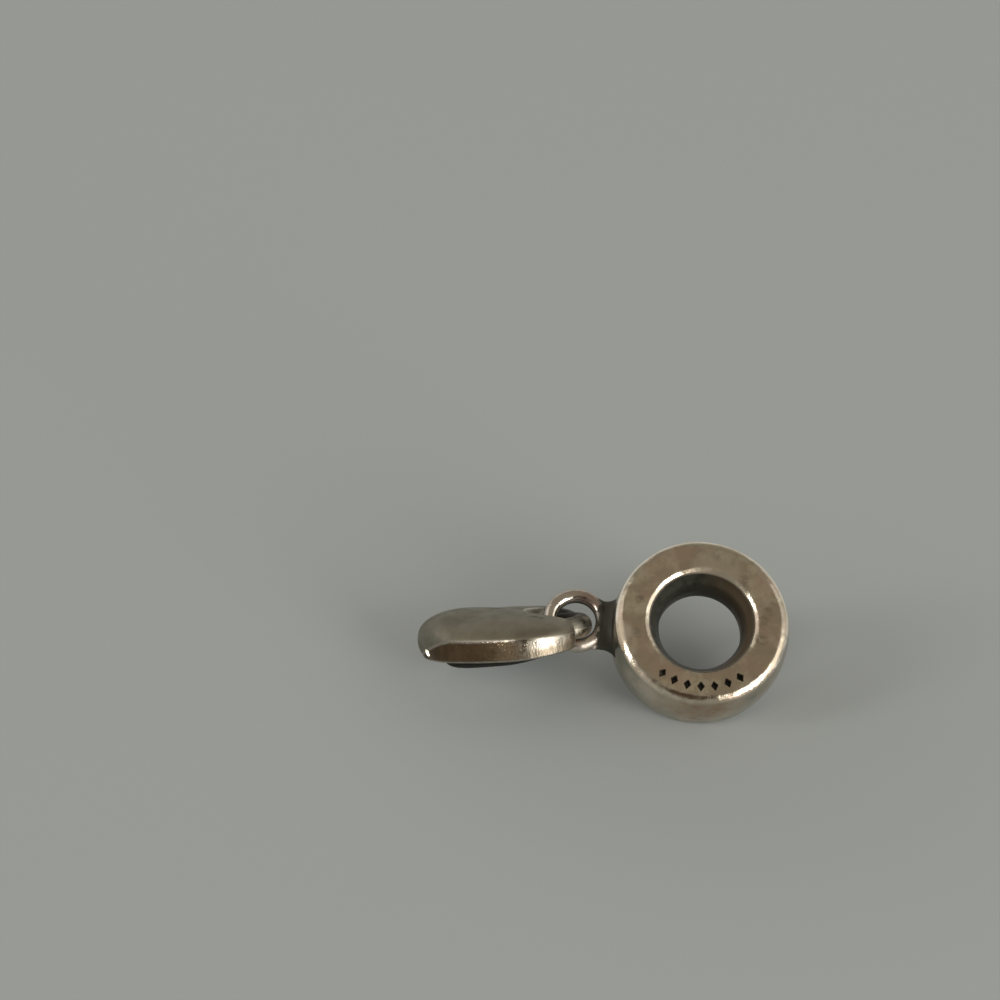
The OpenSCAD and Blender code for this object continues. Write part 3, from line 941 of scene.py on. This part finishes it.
# %% [markdown]
# The camera looks down at the table at the photograph's angle, through a long lens and from some
# way off, so the charm is seen without distortion. It leans a little to one side, as the hand that
# held it did. The bead lies right of the middle and below it.

# %% The camera
elevation, azimuth, lean = radians(34.56), radians(-7.18), radians(6.92)
frame_width, lens_mm, sensor_mm = 0.050, 500.0, 36
right_of_middle, below_middle = 9.965, 6.625

towards = Vector((sin(azimuth) * cos(elevation), -cos(azimuth) * cos(elevation), sin(elevation)))
level_right = Vector((0, 0, 1)).cross(towards).normalized()
level_up = towards.cross(level_right)
up = level_up * cos(lean) - level_right * sin(lean)
image_right = up.cross(towards)
distance = frame_width * lens_mm / sensor_mm
aim = (bead_middle - right_of_middle * image_right + below_middle * up) * MM
camera_data = bpy.data.cameras.new("camera")
camera_data.lens, camera_data.sensor_width = lens_mm, sensor_mm
camera_data.clip_start, camera_data.clip_end = 0.01, 5
camera = bpy.data.objects.new("camera", camera_data)
bpy.context.scene.collection.objects.link(camera)
camera.matrix_world = (Matrix.Translation(aim + towards * distance)
                       @ Matrix((image_right, up, towards)).transposed().to_4x4())
bpy.context.scene.camera = camera
print("camera", distance, "m away, towards", towards)

# %% [markdown]
# The light is soft and comes from two windows, both behind the photographer's shoulders. Their
# places are given as the photographer would say them: how far right, how far up, and how near.

# %% The windows
window_distance, daylight = 1.2, (1.0, 0.97, 0.92)
windows = (("right_window", (0.68, -0.19, 0.70), 0.58, 0.70, 7.4),
           ("left_window", (-0.75, 0.20, 0.63), 0.24, 0.50, 2.7))


def in_world(right, above, near):
    return (image_right * right + up * above + towards * near).normalized()


for name, place, width, height, power in windows:
    lamp = bpy.data.lights.new(name, "AREA")
    lamp.shape, lamp.size, lamp.size_y = "RECTANGLE", width, height
    lamp.energy, lamp.color = power, daylight
    light = bpy.data.objects.new(name, lamp)
    bpy.context.scene.collection.objects.link(light)
    way = in_world(*place)
    light.location = way * window_distance
    light.rotation_mode = "QUATERNION"
    light.rotation_quaternion = way.to_track_quat("Z", "Y")
print(len(windows), "windows")

# %% [markdown]
# Polished metal shows its surroundings, so the room matters more than the metal's colour. It has a
# dim warm ceiling, a pale wall behind the table and a pale stretch of wall on either side of the
# photographer.

# %% The room
world = bpy.data.worlds.new("room")
bpy.context.scene.world = world
world.use_nodes = True
room = Nodes(world.node_tree)
direction = room.add("TexCoord").outputs["Generated"]
steepness = room.add("SeparateXYZ", Vector=direction).outputs[2]
ramp = room.add("ValToRGB", Fac=steepness)
ramp.color_ramp.interpolation = "EASE"
stops = ramp.color_ramp.elements
stops[0].color, stops[1].color = rgb(0.33, 0.335, 0.32), rgb(0.285, 0.255, 0.203)
stops.new(0.5).color = rgb(0.24, 0.235, 0.21)


def facing(way):
    """How nearly a direction points this way: 1 is exactly."""
    return room.measure("DOT_PRODUCT", direction, way)


behind = facing((-towards.x, -towards.y, 0))
pale_wall = room.times(room.fade(steepness, 0.02, 0.16), room.fade(steepness, 0.62, 0.36),
                       room.fade(behind, -0.1, 0.5))
light = room.mix(pale_wall, ramp.outputs[0], rgb(0.58, 0.56, 0.50))
for side in (1, -1):
    beside = facing(level_right * side)
    side_wall = room.times(room.fade(beside, 0.40, 0.60), room.fade(behind, -0.05, -0.3),
                           room.fade(steepness, 0.02, 0.14), room.fade(steepness, 0.80, 0.60))
    light = room.mix(side_wall, light, rgb(0.50, 0.49, 0.46))
print("walls", len(room.tree.nodes), "nodes")

# %% [markdown]
# Three bright places hang in the room, one at the left and two at the right, and they give the
# silver its glints. One place is dark: the photographer. Each is a soft round patch, and its
# numbers are its direction, how nearly one has to face it for its edge and for its core, and its
# light.

# %% Bright and dark places in the room
high_left = ((-0.80, 0.53, 0.27), 0.88, 0.96, rgb(0.86, 0.83, 0.78))
high_right = ((0.89, 0.41, 0.20), 0.87, 0.96, rgb(0.80, 0.79, 0.75))
near_right = ((0.88, 0.12, 0.45), 0.925, 0.98, rgb(1.7, 1.64, 1.52))
photographer = ((0.0, -0.16, 0.985), 0.90, 0.985, rgb(0.07, 0.048, 0.03))
for way, outer, core, colour in (high_left, high_right, near_right, photographer):
    light = room.mix(room.fade(facing(in_world(*way)), outer, core), light, colour)
background = room.tree.nodes["Background"]
room.put(background.inputs["Color"], light)
background.inputs["Strength"].default_value = 1.0
bpy.context.scene.view_settings.view_transform = "Standard"
print("room", len(room.tree.nodes), "nodes")

# %% The end
low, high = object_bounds()
print("visual box", tuple(low), tuple(high))
